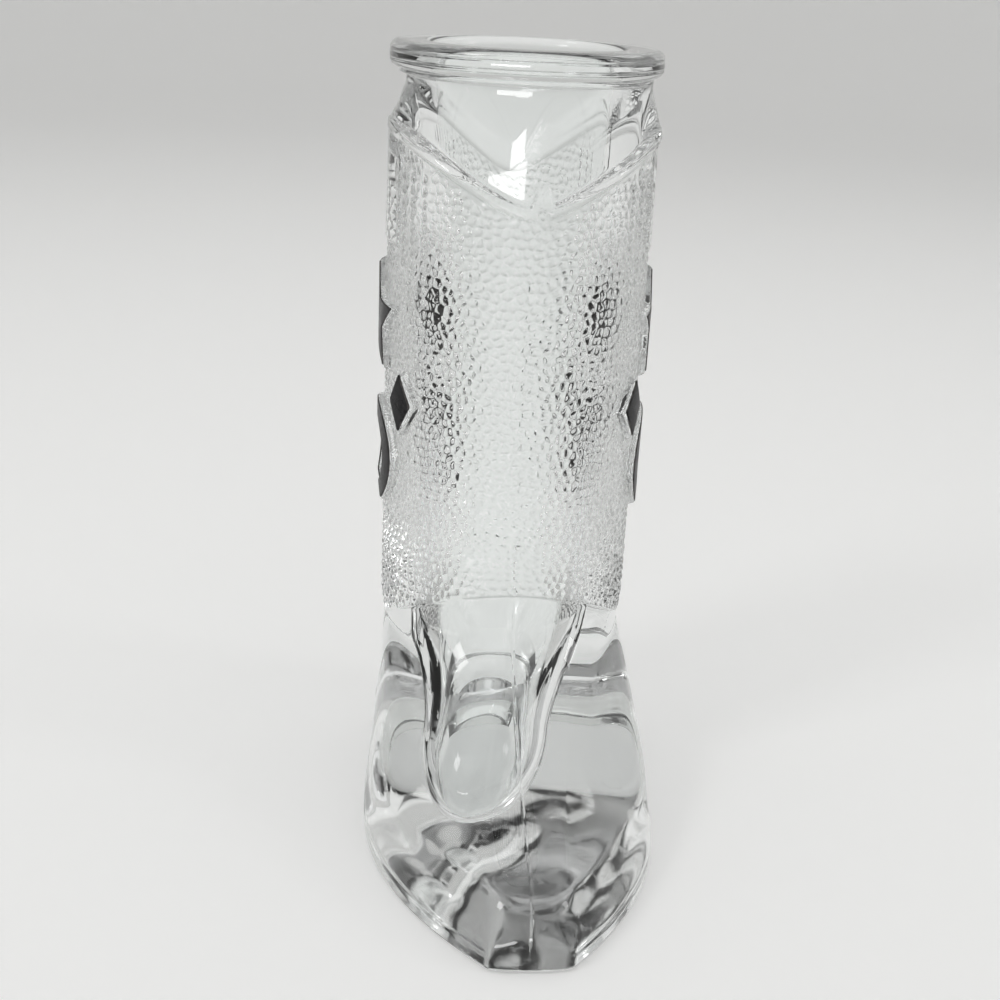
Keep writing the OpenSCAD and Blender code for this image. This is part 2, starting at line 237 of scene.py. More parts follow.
def step(low, high, v):
    return ease((v - low) / (high - low))


def bell(v, width):
    return np.exp(-(v / width) ** 2)


def bend(a, b, c, t):
    """A point on the curve from a to c that is drawn towards b."""
    return lerp(lerp(a, b, t), lerp(b, c, t), t)


def bezier(p, t):
    t = np.asarray(t, float)[..., None]
    p = np.asarray(p, float)
    return (1 - t) ** 3 * p[0] + 3 * t * (1 - t) ** 2 * p[1] + 3 * t * t * (1 - t) * p[2] + t ** 3 * p[3]


def arc(cx, cz, r, start, end, n=12):
    a = np.radians(np.linspace(start, end, n))
    return np.stack([cx + r * np.cos(a), cz + r * np.sin(a)], -1)


def run_along(points):
    """Length of the way along a line to each of its points."""
    return np.concatenate([[0], np.cumsum(np.hypot(*np.diff(points, axis=0).T))])


def sample(line, run, at):
    return np.stack([np.interp(at, run, line[:, k]) for k in (0, 1)], -1)


def smooth_line(points, spacing, width):
    """A line through points, resampled evenly and softened, with its ends kept."""
    points = np.asarray(points, float)
    run = run_along(points)
    line = sample(points, run, np.linspace(0, run[-1], int(run[-1] / spacing) + 1))
    reach = int(3 * width / spacing)
    kernel = np.exp(-0.5 * (np.arange(-reach, reach + 1) * spacing / width) ** 2)
    kernel /= kernel.sum()
    ends = np.concatenate([2 * line[0] - line[reach:0:-1], line, 2 * line[-1] - line[-2:-reach - 2:-1]])
    return np.stack([np.convolve(ends[:, k], kernel, "valid") for k in (0, 1)], -1)


def thin_line(line, longest, turn):
    """Fewer points on a line: closer together where it bends."""
    d = np.diff(line, axis=0)
    way = np.unwrap(np.arctan2(d[:, 1], d[:, 0]))
    turned = np.abs(np.diff(way, append=way[-1]))
    run = np.concatenate([[0], np.cumsum(np.hypot(*d.T) / longest + turned / turn)])
    return sample(line, run, np.linspace(0, run[-1], int(math.ceil(run[-1])) + 1))


def column_angles():
    """Degrees from the toe of the columns of points, closer at the seam, ornaments and heel's breast."""
    bands = ((0, 1.6, 12), (1.6, 50, 80), (50, 92.9, 96), (92.9, 96.2, 30), (96.2, 130, 75))
    half = [np.linspace(start, end, count, endpoint=False) for start, end, count in bands]
    half = np.concatenate(half + [np.linspace(130, 180, 84)])
    return np.concatenate([half, 360 - half[-2:0:-1]])


# Columns of points round the boot, whose left is the side with angles over 180 degrees
angle = column_angles()
COLUMNS = len(angle)
half_angle = np.minimum(angle, 360 - angle)
side = np.where(angle > 180, -1.0, 1.0)
sin_a = np.sin(np.radians(angle))
cos_a = np.cos(np.radians(angle))
outwards = np.column_stack([sin_a, -cos_a])
frontness = np.clip(cos_a, 0, 1) ** 2


def ring(radius):
    """Points of a row from its radius at each column."""
    return np.broadcast_to(radius, COLUMNS)[:, None] * outwards


def row(xy, z):
    """A row of points from their places and heights."""
    return np.column_stack([xy, np.broadcast_to(z, COLUMNS)])


# Main curves of the boot
def shaft_r(z):
    return lerp(SHAFT_BOTTOM_D, SHAFT_TOP_D, (z - ANKLE_SIDE) / (COLLAR_PEAK - ANKLE_SIDE)) / 2


def collar_z(x):
    def rise(v):
        return np.hypot(v, DIP_ROUND) - DIP_ROUND
    return COLLAR_DIP + (COLLAR_PEAK - COLLAR_DIP) * rise(x) / rise(SHAFT_TOP_D / 2)


def ankle_z(y):
    high = np.where(y < 0, ANKLE_FRONT, ANKLE_BACK)
    return lerp(ANKLE_SIDE, high, np.abs(2 * y / SHAFT_BOTTOM_D) ** ANKLE_POWER)


def sole_z(y):
    return HEEL_H * ease((y + SHANK_Y) / (BREAST_Y + SHANK_Y))


def sole_half_w(y):
    taper = np.clip((-y - BALL_Y) / (TOE - BALL_Y), 0, 1) ** TOE_POWER
    return np.where(y < -BALL_Y, lerp(BALL_W, TIP_W, taper), lerp(BALL_W, HEEL_W, ease(1 + y / BALL_Y))) / 2


def heel_share(y):
    return step(BREAST_Y - BREAST_DRAFT, BREAST_Y + BREAST_DRAFT, y)


def under_z(y):
    return sole_z(np.minimum(y, BREAST_Y)) * (1 - heel_share(y))


def sharp_outline(a, grow):
    f = np.radians(90 * (a - TIP_TURN) / (90 - TIP_TURN))
    r = np.radians(a)
    x = np.where(a < TIP_TURN, (TIP_W / 2 + grow) * a / TIP_TURN,
                 np.where(a < 90, sole_half_w(-TOE * np.cos(f)) + grow, (HEEL_W / 2 + grow) * np.sin(r)))
    y = np.where(a < TIP_TURN, -(TOE + grow),
                 np.where(a < 90, -(TOE + grow) * np.cos(f), -(HEEL_REACH + grow) * np.cos(r)))
    return np.stack([x, y], -1)


def outline(grow, corner):
    """The sole's outline, grown outwards, with the snipped toe's corners rounded."""
    grow = np.broadcast_to(np.asarray(grow, float), half_angle.shape)
    t = ((half_angle - TIP_TURN + corner) / (2 * corner))[:, None]
    turns = (np.full_like(half_angle, TIP_TURN + d) for d in (-corner, 0, corner))
    before, at, after = (sharp_outline(turn, grow) for turn in turns)
    p = np.where((t < 0) | (t > 1), sharp_outline(half_angle, grow), bend(before, at, after, t))
    return np.stack([side * p[:, 0], p[:, 1]], -1)


collar_line = collar_z(shaft_r(COLLAR_PEAK) * sin_a)
ledge_line = ankle_z(-SHAFT_BOTTOM_D / 2 * cos_a)


# Outlines of the ornaments on the boot's side, as points (y, z), grown outwards
def star(grow):
    half_arm = math.pi / STAR_ARMS
    tip = math.atan2(STAR_WAIST * math.sin(half_arm), 1 - STAR_WAIST * math.cos(half_arm))
    r = STAR_R + grow / math.sin(tip)
    a = np.pi / 2 + half_arm * np.arange(2 * STAR_ARMS)
    reach = np.where(np.arange(2 * STAR_ARMS) % 2 == 0, r, r * STAR_WAIST)
    return np.stack([reach * np.cos(a), STAR_Z + reach * np.sin(a)], -1)


def horseshoe(grow):
    gap = SHOE_GAP - math.degrees(math.asin(grow / (SHOE_R - SHOE_BAR / 2)))
    a = np.radians(np.linspace(gap - 90, 270 - gap, 61))
    way = np.stack([np.cos(a), np.sin(a)], -1)
    return np.concatenate([way * (SHOE_R + grow), way[::-1] * (SHOE_R - SHOE_BAR - grow)]) + (0, SHOE_Z)


def lozenge(end, grow):
    size = 1 + grow * math.hypot(LOZENGE_W, LOZENGE_H) / (LOZENGE_W * LOZENGE_H)
    corners = np.array([(LOZENGE_W, 0), (0, LOZENGE_H), (-LOZENGE_W, 0), (0, -LOZENGE_H)])
    return size * corners + (end * LOZENGE_Y, LOZENGE_Z)


MOTIFS = {
    "star": star,
    "horseshoe": horseshoe,
    "front_lozenge": lambda grow: lozenge(-1, grow),
    "back_lozenge": lambda grow: lozenge(1, grow)}


def polygon_distance(poly, u, v):
    """Signed distance to a closed outline, negative inside."""
    best = np.full(u.shape, FAR)
    inside = np.zeros(u.shape, bool)
    for (ax, ay), (bx, by) in zip(poly, np.roll(poly, -1, 0)):
        dx, dy = bx - ax, by - ay
        t = np.clip(((u - ax) * dx + (v - ay) * dy) / (dx * dx + dy * dy), 0, 1)
        best = np.minimum(best, np.hypot(u - ax - t * dx, v - ay - t * dy))
        if ay != by:
            inside ^= ((ay > v) != (by > v)) & (u < (v - ay) * dx / dy + ax)
    return np.where(inside, -best, best)


# Fine relief of the shaft
def pebbles(z):
    """Height of the pebbled surface, 0 in the grooves to 1, on rows of the shaft at heights z."""
    lowest, pitch_z = 19.0, 1.16
    across, rows = 84, 70
    stray, least_swell, roundness = 0.36, 0.75, 2.4
    near = (-2, -1, 0, 1, 2)
    rng = np.random.default_rng(7)
    girth = math.pi * (SHAFT_TOP_D + SHAFT_BOTTOM_D) / 2
    pitch_u = girth / across
    jitter = rng.uniform(-stray, stray, (rows, across, 2)) * (pitch_u, pitch_z)
    swell = rng.uniform(least_swell, 1.0, (rows, across))
    u = np.broadcast_to(np.radians(angle) / (2 * np.pi) * girth, z.shape)
    v = z - lowest
    iu, iv = np.floor(u / pitch_u).astype(int), np.floor(v / pitch_z).astype(int)
    first, second = np.full(z.shape, FAR), np.full(z.shape, FAR)
    full = np.ones(z.shape)
    for dv in near:
        kv = np.clip(iv + dv, 0, rows - 1)
        for du in near:
            ku = iu + du
            spot = jitter[kv, ku % across]
            away_u = (ku + 0.5 + 0.5 * (kv % 2)) * pitch_u + spot[..., 0] - u
            away_v = (kv + 0.5) * pitch_z + spot[..., 1] - v
            d = np.where(iv + dv == kv, np.hypot(away_u, away_v), FAR)
            nearer = d < first
            second = np.where(nearer, first, np.minimum(second, d))
            full = np.where(nearer, swell[kv, ku % across], full)
            first = np.where(nearer, d, first)
    edge = (second - first) / (second + first)
    return full * (1 - (1 - edge) ** roundness)


def stitches(y, z):
    """Height of the raised stitches, 0 to 1, and the share of the plain strips that they lie in."""
    soft, strip_soft = 0.5, 1.0
    along = np.abs((z / STITCH_PITCH) % 1 - 0.5) * STITCH_PITCH
    ends = 1 - step(STITCH_TOP - soft, STITCH_TOP + soft, z)
    sewn, strips = 0, 0
    for column, low in STITCH_COLUMNS:
        across = np.abs(y) - column
        lens = np.clip(1 - (across / STITCH_W) ** 2 - (along / STITCH_L) ** 2, 0, 1)
        sewn = np.maximum(sewn, np.sqrt(lens) * step(low - soft, low + soft, z) * ends)
        strips = np.maximum(strips, bell(across, SEWN_W) * step(low - strip_soft, low + strip_soft, z))
    return sewn, strips


def braid(y, below):
    """Place and slanted strokes of a braid on the left of the front, just below the collar's piping."""
    soft = 0.35
    along = step(*BRAID_FROM, -y) * (1 - step(*BRAID_TO, -y)) * (side < 0)
    place = step(0.0, soft, below) * (1 - step(BRAID_W - soft, BRAID_W, below)) * along
    return place, 0.5 + 0.5 * np.sin(2 * np.pi * (y / BRAID_PITCH + below / BRAID_SLANT))


def flash(s):
    """Uneven height, 0 to 1, of the fin that the mould left along a seam."""
    return 0.5 + sum(share * np.sin(rate * s + phase) for share, rate, phase in FIN_WAVES)


def shaft_seam(x, z, bottom):
    """Fin along the shaft's seams, with uneven glass spilt at the foot of the front one."""
    fin = bell(x, SHAFT_SEAM_W) * lerp(*SHAFT_SEAM_H, 1 - step(*SHAFT_SEAM_FADE, bottom)) * flash(z)
    spill = bell(x, SPILL_W) * step(*SPILL_FROM, bottom) * (1 - step(*SPILL_TO, bottom)) * (cos_a > 0)
    uneven = np.sin(SPILL_RATE[0] * x + SPILL_PHASE) * np.sin(SPILL_RATE[1] * z)
    return fin + SPILL_H * spill * (0.5 + 0.5 * uneven)


def strap_share(y):
    return 1 - step(*STRAP_SIDE, np.abs(y))


def shaft_surface(z):
    """Radius of the shaft on rows at heights z, with all its relief and the raised ornaments."""
    base = shaft_r(z)
    x, y = base * sin_a, -base * cos_a
    ornament = np.full(z.shape, FAR)
    for motif in MOTIFS.values():
        ornament = np.minimum(ornament, polygon_distance(motif(0), y, z))
    pad = 1 - step(*PAD_EDGE, ornament)
    strap = strap_share(y) * step(*STRAP_FOOT, z)
    proud = lerp(STRAP_PROUD, STRAP_PROUD / 2, step(STRAP_LOW, COLLAR_PEAK, z))
    below_collar = collar_z(x) - PIPING_W - z
    bottom = z - ledge_line
    sewn, strips = stitches(y, z)
    woven, stroke = braid(y, below_collar)
    free = step(*PAD_CLEAR, ornament) * (1 - woven)
    rough = (1 - strap) * free * step(*PEBBLES_TO, below_collar)
    rough = rough * (1 - SEWN_PLAIN * strips) * step(*PEBBLES_FROM, bottom)
    relief = rough * (PEBBLE_H * pebbles(z) - PEBBLE_SINK) + strap * proud
    relief = relief + STITCH_H * sewn * free + BRAID_H * woven * stroke
    draw = EDGE_DRAW * (1 - step(0.0, EDGE_DRAW_H, bottom)) * lerp(1.0, EDGE_DRAW_FRONT, frontness)
    return base + relief + PAD_PROUD * pad + shaft_seam(x, z, bottom) - draw


# Rows of points over the glass, each sub-part as a list of rows
def sole_rows():
    """Underside, from a line along the middle out to the edge, then the sole's and heel's edge."""
    plain = outline(0, SOLE_CORNER)
    low_z = under_z(plain[:, 1])
    top_z = sole_z(plain[:, 1]) + SOLE_T
    draw_in = -HEEL_TAPER * heel_share(plain[:, 1])
    edge = outline(draw_in - SOLE_ROUND, SOLE_CORNER)
    middle = np.column_stack([np.zeros(COLUMNS), np.clip(edge[:, 1], *MIDDLE_LINE)])
    rows = []
    for t in np.linspace(0, 1, 15)[:-1]:
        xy = lerp(middle, edge, t)
        rows.append(row(xy, under_z(xy[:, 1])))
    for a in np.radians(np.linspace(0, 90, 7)):
        xy = outline(draw_in - SOLE_ROUND * (1 - np.sin(a)), SOLE_CORNER)
        rows.append(row(xy, low_z + SOLE_ROUND * (1 - np.cos(a))))
    for t in np.linspace(0, 1, 12)[1:]:
        z = lerp(low_z + SOLE_ROUND, top_z - WELT_BLEND, t)
        rows.append(row(outline(draw_in * np.clip(1 - z / HEEL_H, 0, 1), SOLE_CORNER), z))
    return rows


def foot_profile():
    """Side view of the toe box and the vamp as points (y, z), and of the vamp alone."""
    toe_end = (-UPPER_TOE + TOE_ROUND, TOE_H)
    toe_box = [(-UPPER_TOE, SOLE_T), (-UPPER_TOE, lerp(SOLE_T, TOE_H, TOE_STRAIGHT)),
               (-UPPER_TOE + TOE_ROUND / 2, TOE_H - TOE_ROUND / 2 * VAMP_RISE / VAMP_START), toe_end]
    over_vamp = [toe_end, (toe_end[0] + VAMP_START, toe_end[1] + VAMP_RISE),
                 (-ANKLE_R, INSTEP), (-ANKLE_R, ANKLE_FRONT + SINK)]
    t = np.linspace(0, 1, 400)
    vamp = bezier(over_vamp, t)
    profile = np.concatenate([bezier(toe_box, t), vamp[1:]])
    return smooth_line(profile, spacing=0.05, width=0.35), vamp


profile_line, vamp_line = foot_profile()


def upper(share):
    """Points and heights of a row of the upper, from the sole at share 0 to the shaft's ledge at share 1."""
    foot = outline(-WELT, UPPER_CORNER)
    run = np.arange(len(profile_line)) * 1.0
    start = np.interp(sole_z(foot[:, 1]) + SOLE_T, profile_line[:, 1], run)
    stop = np.interp(ledge_line, profile_line[:, 1], run)
    front, z = sample(profile_line, run, lerp(start, stop, share)).T
    flank = np.clip((z - SOLE_T) / (ANKLE_SIDE - SOLE_T), 0, 1) ** FLANK_POWER
    vamp_share = (UPPER_TOE + front) / (UPPER_TOE - ANKLE_R)
    rise = lerp(vamp_share, flank, step(FLANK_FROM, FLANK_TO, half_angle))
    xy = lerp(foot, ring(ANKLE_R), rise[:, None])
    # The toe box draws in towards its top
    top = np.interp(xy[:, 1], *vamp_line.T)
    height = np.clip((z - SOLE_T) / (top - SOLE_T), 0, 1) ** TOE_DRAW_POWER
    forward = ease((-xy[:, 1] - BALL_Y) / (TOE_DRAW_AT * (TOE - BALL_Y)))
    xy[:, 0] *= 1 - TOE_DRAW * forward * height
    # It tucks in below the ledge, and a fin runs along the seam
    near_ledge = step(ledge_line - TUCK_H, ledge_line, z)
    xy *= (1 - lerp(*TUCK, frontness) * near_ledge / np.hypot(*xy.T))[:, None]
    fin = lerp(*FOOT_SEAM_H, step(*FOOT_SEAM_RISE, z)) * np.where(cos_a > 0, 1.0, BACK_SEAM)
    seam = bell(xy[:, 0], FOOT_SEAM_W) * fin * flash(z) * (1 - near_ledge)
    return xy + np.column_stack([np.zeros(COLUMNS), np.sign(xy[:, 1]) * seam]), z


def welt_rows():
    """Welt, which runs softly from the sole's edge into the upper, with a faint crease on the flanks."""
    low = outline(0, SOLE_CORNER)
    top_z = sole_z(low[:, 1]) + SOLE_T
    low_z = top_z - WELT_BLEND
    high, high_z = upper(WELT_JOIN)
    further = 0.004
    on, on_z = upper(WELT_JOIN + further)
    reach = WELT_PULL * (high_z - low_z)
    slope = (on - high) / (on_z - high_z)[:, None]
    back_off = high - slope * reach[:, None]
    back_off[:, 1] = np.maximum(back_off[:, 1], -TOE + WELT_TOE_GAP)
    crease = CREASE * step(*CREASE_FROM, half_angle)
    heights = np.stack([low_z, low_z + reach, high_z - reach, high_z])[:, :, None]
    rows = []
    for t in np.linspace(0, 1, 40)[1:]:
        xy = bezier([low, low, back_off, high], t)
        z = bezier(heights, t)[:, 0]
        inset = crease * bell(z - top_z, CREASE_W)
        rows.append(row(xy * (1 - inset / np.hypot(*xy.T))[:, None], z))
    return rows


def upper_rows():
    stretches = (np.linspace(WELT_JOIN, 0.3, 52), np.linspace(0.3, 0.94, 56), np.linspace(0.94, 1.0, 10))
    return [row(*upper(share)) for shares in stretches for share in shares[1:]]


def ledge_rows():
    """Ledge from the upper out to the shaft's lower edge."""
    inner, inner_z = upper(1.0)
    outer_z = ledge_line + EDGE_ROUND_H
    outer = ring(shaft_surface(outer_z[None, :])[0])
    corner = lerp(inner, outer, LEDGE_CORNER)
    turns = np.linspace(0, 1, 9)[1:-1]
    return [row(bend(inner, corner, outer, t), bend(inner_z, ledge_line, outer_z, t)) for t in turns]


def shaft_rows():
    """Shaft up to the piping, and its radius there."""
    level = 37.0
    low = np.linspace(0, 1, 66, endpoint=False)[:, None]
    main = np.linspace(0, 1, 244, endpoint=False)[:, None]
    high = np.linspace(0, 1, 60)[:, None]
    heights = np.concatenate([
        lerp(ledge_line + EDGE_ROUND_H, level, low),
        lerp(level, STRAP_LOW, main) + np.zeros(COLUMNS),
        lerp(STRAP_LOW, collar_line - PIPING_W, high)])
    radius = shaft_surface(heights)
    return [row(ring(r), z) for r, z in zip(radius, heights)], radius[-1]


def neck_surface(z):
    """Radius of the neck, which runs out to the shaft's own radius at the sides."""
    plain = lerp(NECK_FOOT_D, NECK_D, np.clip((z - COLLAR_DIP) / (NECK_END - COLLAR_DIP), 0, 1)) / 2
    height = np.clip((z - COLLAR_PEAK) / (NECK_END - COLLAR_PEAK), 0, 1)
    flare = lerp(shaft_r(COLLAR_PEAK), NECK_D / 2, height)
    return lerp(plain, np.maximum(plain, flare), 1 - step(*NECK_FLARE, np.abs(plain * cos_a)))


def neck_row(r, z):
    """A row of the neck, which leans a little to one side towards its top."""
    lean = NECK_LEAN * step(COLLAR_DIP, NECK_END, z)
    return row(ring(r) + lean[:, None] * (1, 0), z)


def collar_rows(shaft_top_r):
    """Piping along the collar, with a short gap beside the middle of the front, then the neck."""
    x, y = shaft_r(COLLAR_PEAK) * outwards.T
    gap = np.where(y < 0, 1 - step(*PIPING_GAP, np.abs(x - PIPING_GAP_X)), 0)
    back = step(*PIPING_FADE, y)
    strap = strap_share(y)
    over_strap = np.where(side < 0, lerp(1.0, PIPING_LEFT, strap), 1.0)
    ridge = PIPING_PROUD * (1 - gap) * lerp(1.0, PIPING_BACK, back) * over_strap
    strap_proud = strap * STRAP_PROUD / 2
    rows = []
    for t in np.linspace(0, 1, 15)[1:]:
        z = collar_line - PIPING_W * (1 - t)
        base = lerp(shaft_top_r, shaft_r(z) + strap_proud, t)
        rows.append(row(ring(base + ridge * math.sin(math.pi * t) ** PIPING_POWER), z))
    edge_r = shaft_r(collar_line) + strap_proud
    fall = lerp(*COLLAR_FALL, np.maximum(back, gap))
    for t in np.linspace(0, 1, 11)[1:]:
        z = collar_line + fall * t
        rows.append(neck_row(lerp(edge_r, neck_surface(z), ease(t)), z))
    for t in np.linspace(0, 1, 26)[1:]:
        z = lerp(collar_line + fall, NECK_END, t)
        rows.append(neck_row(neck_surface(z), z))
    return rows


def lip_rows():
    """Bead, rolled lip with its grooves, and mouth, down to the well."""
    bead = BEAD_H / 2
    taper, slack = 0.05, 0.1
    line = np.concatenate([
        [(NECK_D / 2, NECK_END), (NECK_D / 2, NECK_TOP)],
        arc(BEAD_D / 2 - bead, NECK_TOP + bead, bead, -90, 90),
        arc(LIP_D / 2 - LIP_ROUND, HEIGHT - LIP_H + LIP_ROUND, LIP_ROUND, -90, 0),
        arc(LIP_D / 2 - LIP_ROUND, HEIGHT - LIP_ROUND, LIP_ROUND, 0, 90),
        arc(MOUTH_D / 2 + MOUTH_ROUND, HEIGHT - MOUTH_ROUND, MOUTH_ROUND, 90, 180),
        [(WELL_TOP_D / 2, NECK_TOP), (WELL_TOP_D / 2 - taper, WELL_START)]])
    line = smooth_line(line, spacing=0.03, width=0.13)
    for depth in GROOVES:
        groove = GROOVE_DEPTH * bell(line[:, 1] - (HEIGHT - depth), GROOVE_W)
        line[:, 0] -= np.where(line[:, 0] > LIP_D / 2 - LIP_ROUND, groove, 0)
    rows = []
    for r, z in thin_line(line, longest=0.4, turn=0.1)[1:]:
        # The neck's lean ends under the bead
        on_neck = (r > NECK_D / 2 - slack) and (z < NECK_TOP + bead)
        lean = NECK_LEAN * np.clip((BEAD_D / 2 - r) / (BEAD_D - NECK_D) * 2, 0, 1) * on_neck
        rows.append(row(ring(r) + (lean, 0), z))
    return rows


def well_rows():
    """Well, then the hollow that turns forward into the foot and drifts to one side."""
    turn = WELL_TURN + SINK

    def well_r(z):
        return lerp(WELL_ANKLE_D, WELL_TOP_D, (z - WELL_TURN) / (NECK_TOP - WELL_TURN)) / 2

    tip = HOLLOW_ROUND - HOLLOW_REACH
    line = [(0, turn), (0, lerp(WELL_TURN, HOLLOW_Z, HOLLOW_BEND)),
            (tip / 2, lerp(WELL_TURN, HOLLOW_Z, HOLLOW_LEVEL)), (tip, HOLLOW_Z)]
    start_w = 2 * well_r(turn)
    tiny = 1e-4

    def hollow(t, beyond, shrink):
        """A row round the hollow's middle line at t, or beyond its end, where the hollow closes."""
        way = bezier(line, t + tiny) - bezier(line, t - tiny)
        way /= np.hypot(*way)
        y, z = bezier(line, t) + beyond * way
        w = lerp(lerp(start_w, HOLLOW_W, ease(2 * t)), HOLLOW_TIP_W, ease(2 * t - 1)) / 2 * shrink
        h = lerp(start_w, HOLLOW_H, t) / 2 * shrink
        drift = HOLLOW_DRIFT * (t * t + beyond / HOLLOW_REACH)
        return row(np.column_stack([w * sin_a - drift, y + h * cos_a * way[1]]), z - h * cos_a * way[0])

    rows = [row(ring(well_r(z)), z) for z in np.linspace(WELL_START, turn, 22)[1:-1]]
    rows += [hollow(t, 0, 1) for t in np.linspace(0, 1, 44)]
    for a in np.radians(np.linspace(0, 90, 20)[1:]):
        rows.append(hollow(1.0, HOLLOW_ROUND * math.sin(a), max(math.cos(a), 0.0)))
    return rows


def boot_rows():
    """Rows of points over the whole glass, from the underside up to the lip and down into the hollow."""
    shaft, shaft_top_r = shaft_rows()
    foot = sole_rows() + welt_rows() + upper_rows() + ledge_rows()
    return np.array(foot + shaft + collar_rows(shaft_top_r) + lip_rows() + well_rows())


# Objects, materials and nodes
def add_object(name, data):
    obj = bpy.data.objects.new(name, data)
    scene.collection.objects.link(obj)
    return obj


def new_material(name):
    m = bpy.data.materials.new(name)
    m.use_nodes = True
    return m, m.node_tree, m.node_tree.nodes["Principled BSDF"]


def feed(tree, fed, inputs):
    """Set a node's inputs to constants, or link them to outputs of other nodes."""
    for key, value in inputs.items():
        if isinstance(value, bpy.types.NodeSocket):
            tree.links.new(value, fed.inputs[key])
        else:
            fed.inputs[key].default_value = value


def node(tree, kind, inputs, **settings):
    made = tree.nodes.new(kind)
    for key, value in settings.items():
        setattr(made, key, value)
    feed(tree, made, inputs)
    return made


def math_node(tree, operation, *values):
    return node(tree, "ShaderNodeMath", dict(enumerate(values)), operation=operation).outputs[0]


def map_range(tree, value, given, wanted, **settings):
    inputs = {"Value": value, "From Min": given[0], "From Max": given[1]}
    inputs.update({"To Min": wanted[0], "To Max": wanted[1]})
    return node(tree, "ShaderNodeMapRange", inputs, **settings).outputs[0]


def noise(tree, place, scale, detail, roughness=0.5):
    inputs = {"Vector": place, "Scale": scale, "Detail": detail, "Roughness": roughness}
    return node(tree, "ShaderNodeTexNoise", inputs).outputs["Fac"]


def bump(tree, height, strength, distance):
    inputs = {"Height": height, "Strength": strength, "Distance": distance}
    return node(tree, "ShaderNodeBump", inputs).outputs["Normal"]


def glass_material():
    """Clear glass with a faint ripple, and stipple and scuffs where it stands on the table."""
    polish, scuff_height = 0.004, 0.0005
    m, tree, shader = new_material("clear_glass")
    place = node(tree, "ShaderNodeTexCoord", {}).outputs["Object"]
    ripple = noise(tree, place, scale=110.0, detail=2.0, roughness=0.4)
    scratch = noise(tree, place, scale=900.0, detail=4.0, roughness=0.7)
    z = node(tree, "ShaderNodeSeparateXYZ", {0: place}).outputs["Z"]
    low = map_range(tree, z, (0.0, scuff_height), (1.0, 0.0))
    stipple = map_range(tree, scratch, (0.52, 0.72), (0.07, 0.2))
    feed(tree, shader, {
        "Base Color": (0.97, 0.985, 0.98, 1),
        "Transmission Weight": 1.0,
        "IOR": 1.52,
        "Roughness": math_node(tree, "MULTIPLY_ADD", low, stipple, polish),
        "Normal": bump(tree, ripple, strength=0.25, distance=0.00012)})
    return m


def enamel_material():
    """Black fired enamel, uneven in tone and gloss, and thin and worn along its edges."""
    dark = (0.006, 0.006, 0.007, 1)
    less_dark = (0.022, 0.021, 0.022, 1)
    bare = (0.13, 0.12, 0.115, 1)
    m, tree, shader = new_material("black_enamel")
    place = node(tree, "ShaderNodeTexCoord", {}).outputs["Object"]
    cloud = noise(tree, place, scale=420.0, detail=5.0, roughness=0.6)
    peel = noise(tree, place, scale=1500.0, detail=2.0)
    rim = node(tree, "ShaderNodeAttribute", {}, attribute_name="rim").outputs["Fac"]
    worn = map_range(tree, math_node(tree, "MULTIPLY", rim, cloud), (0.42, 0.7), (0.0, 1.0))
    tone = node(tree, "ShaderNodeValToRGB", {"Fac": cloud})
    for stop, position, colour in zip(tone.color_ramp.elements, (0.3, 0.8), (dark, less_dark)):
        stop.position = position
        stop.color = colour
    layers = {"Factor": worn, "A": tone.outputs["Color"], "B": bare}
    feed(tree, shader, {
        "Base Color": node(tree, "ShaderNodeMix", layers, data_type="RGBA").outputs["Result"],
        "Specular IOR Level": 0.12,
        "Roughness": map_range(tree, cloud, (0.3, 0.75), (0.2, 0.42)),
        "Normal": bump(tree, peel, strength=0.3, distance=0.00004)})
    return m


def mesh_object(name, points, polygons, places, material):
    """A smooth-shaded mesh object from points in millimetres about the shaft's axis, mapped for baking."""
    mesh = bpy.data.meshes.new(name)
    sizes = np.array([len(p) for p in polygons], np.int32)
    mesh.vertices.add(len(points))
    mesh.vertices.foreach_set("co", ((points + (0, AXIS_Y, 0)) * MM).astype(np.float32).ravel())
    mesh.loops.add(int(sizes.sum()))
    mesh.loops.foreach_set("vertex_index", np.concatenate(polygons).astype(np.int32))
    mesh.polygons.add(len(sizes))
    mesh.polygons.foreach_set("loop_start", (np.cumsum(sizes) - sizes).astype(np.int32))
    mesh.polygons.foreach_set("use_smooth", np.ones(len(sizes), bool))
    mesh.update(calc_edges=True)
    uv = mesh.uv_layers.new(name="OFBake")
    uv.data.foreach_set("uv", np.concatenate(places).astype(np.float32).ravel())
    mesh.materials.append(material)
    return add_object(name, mesh)


